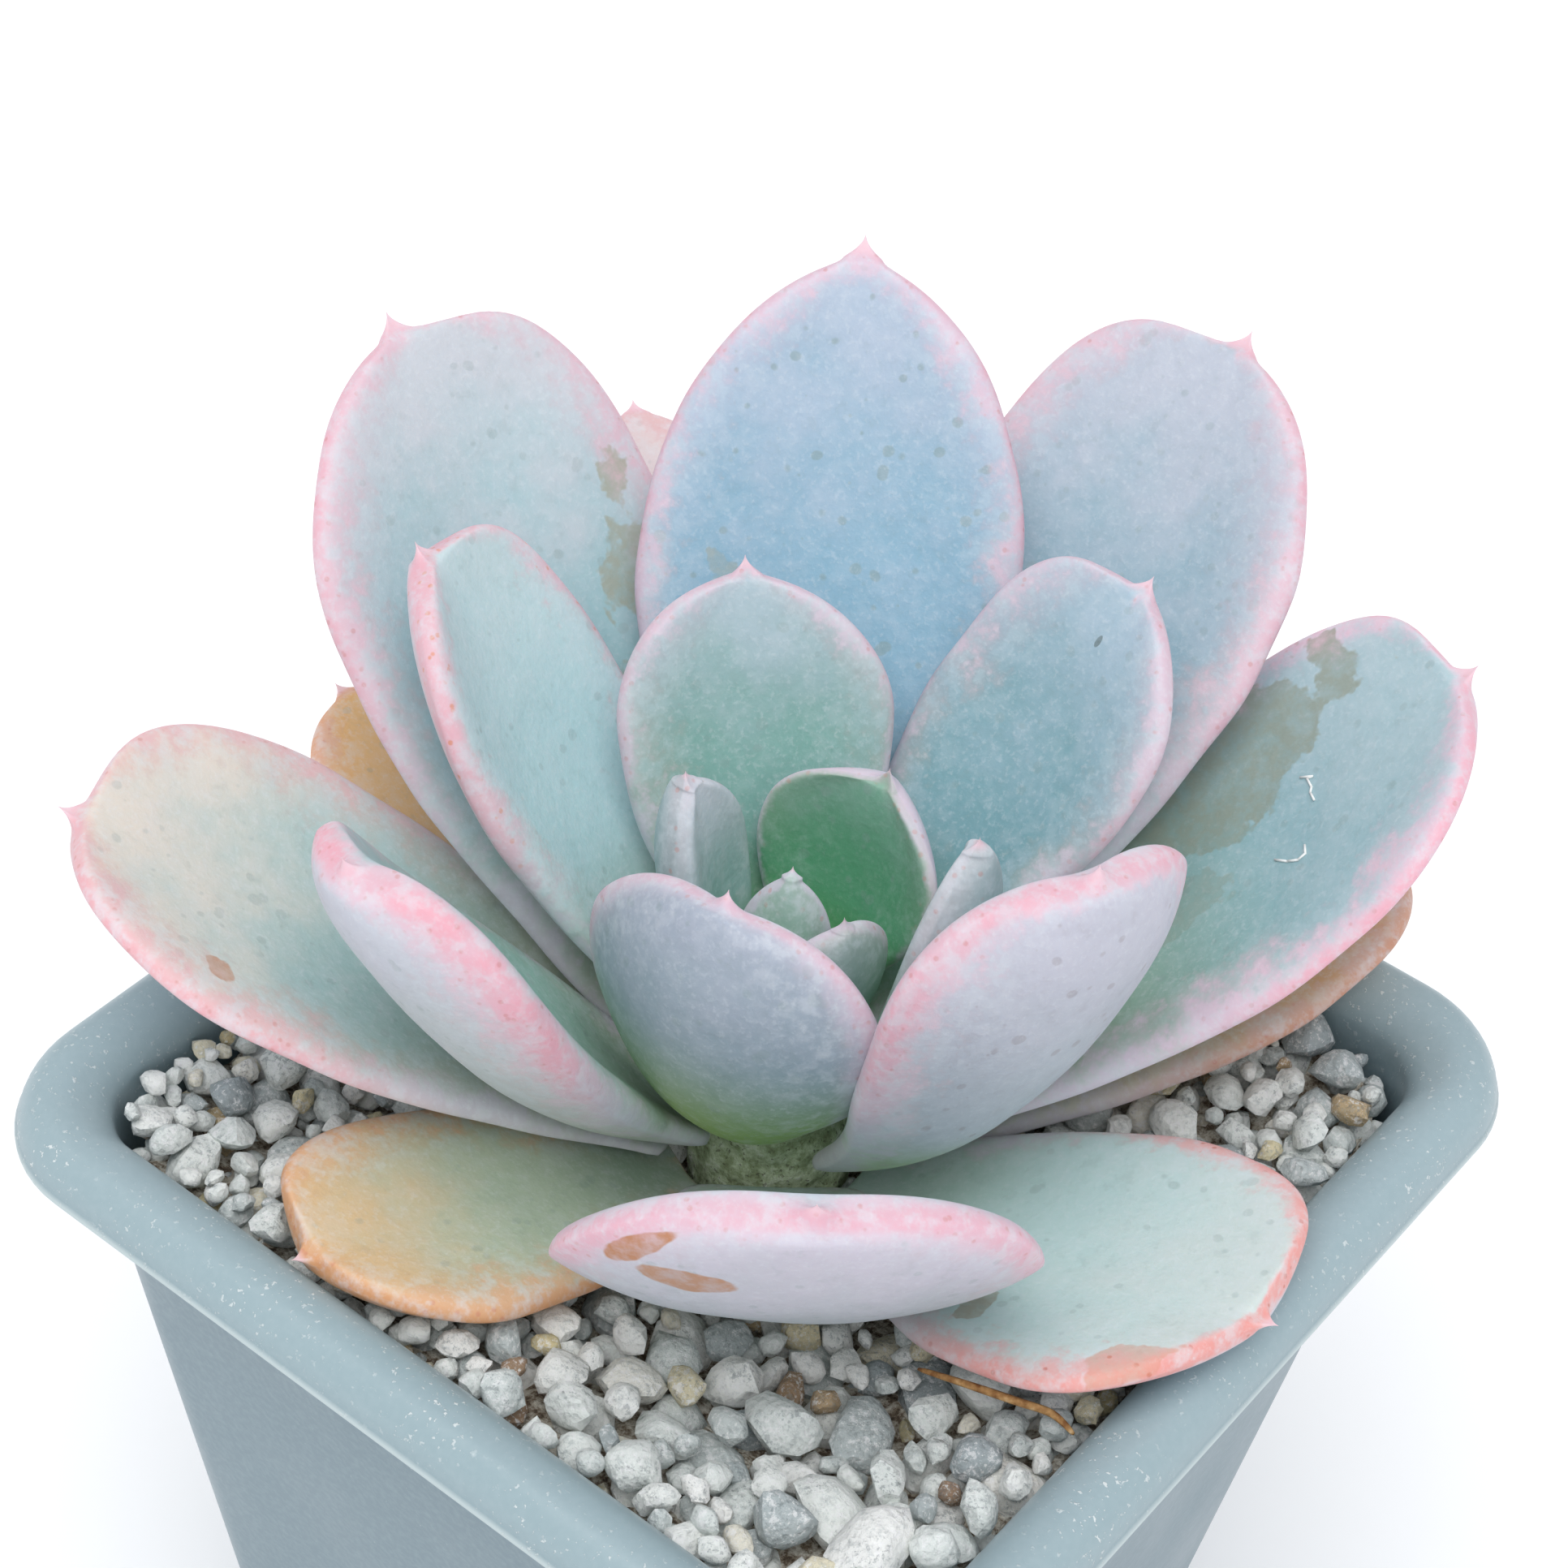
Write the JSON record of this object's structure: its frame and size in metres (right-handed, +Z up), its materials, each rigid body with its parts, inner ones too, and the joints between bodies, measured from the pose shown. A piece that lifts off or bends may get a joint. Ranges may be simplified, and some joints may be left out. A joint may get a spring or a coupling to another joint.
{
  "type": "potted succulent",
  "caption": "Rosette succulent with fleshy pink-edged leaves on a short stem, in a square tapered plastic pot with a rolled rim, topped with pumice grit.",
  "frame": {"origin": "centre of the pot's base, on its underside", "axes": "+Z up along the pot's height; +X and +Y along the pot's two pairs of sides"},
  "size_m": [0.0836, 0.0885, 0.111],
  "materials": {
    "pot_plastic": "moulded, satin",
    "potting_mix": "loose, matt",
    "pumice": "porous, matt",
    "dry_fibre": "dry, matt",
    "stem": "corky, matt",
    "young_leaf": "waxy bloom",
    "grown_leaf": "waxy bloom, pink margins",
    "old_leaf": "waxy, fading"
  },
  "bodies": {
    "root": {"dry_fibre": "dry_fibre", "grit_bed": "pumice", "grit_stone_01": "pumice", "grit_stone_02": "pumice", "grit_stone_03": "pumice", "grit_stone_04": "pumice", "grit_stone_05": "pumice", "grit_stone_06": "pumice", "grit_stone_07": "pumice", "grit_stone_08": "pumice", "grit_stone_09": "pumice", "grit_stone_10": "pumice", "grit_stone_11": "pumice", "grit_stone_12": "pumice", "grit_stone_13": "pumice", "grit_stone_14": "pumice", "grit_stone_15": "pumice", "grit_stone_16": "pumice", "grit_stone_17": "pumice", "grit_stone_18": "pumice", "grit_stone_19": "pumice", "grit_stone_20": "pumice", "leaf_bud": "young_leaf", "leaf_bud_right": "young_leaf", "leaf_inner_back": "young_leaf", "leaf_inner_front": "young_leaf", "leaf_inner_left": "young_leaf", "leaf_inner_right": "young_leaf", "leaf_low_back": "grown_leaf", "leaf_middle_back": "grown_leaf", "leaf_middle_back_right": "grown_leaf", "leaf_middle_front_left": "grown_leaf", "leaf_middle_front_right": "grown_leaf", "leaf_middle_left": "grown_leaf", "leaf_old_back_left": "old_leaf", "leaf_old_front_left": "old_leaf", "leaf_old_front_right": "old_leaf", "leaf_old_right": "old_leaf", "leaf_outer_back": "grown_leaf", "leaf_outer_back_left": "grown_leaf", "leaf_outer_back_right": "grown_leaf", "leaf_outer_front": "grown_leaf", "leaf_outer_left": "grown_leaf", "leaf_outer_right": "grown_leaf", "pot": "pot_plastic", "potting_mix": "potting_mix", "stem_and_root": "stem"}
  },
  "joints": []
}
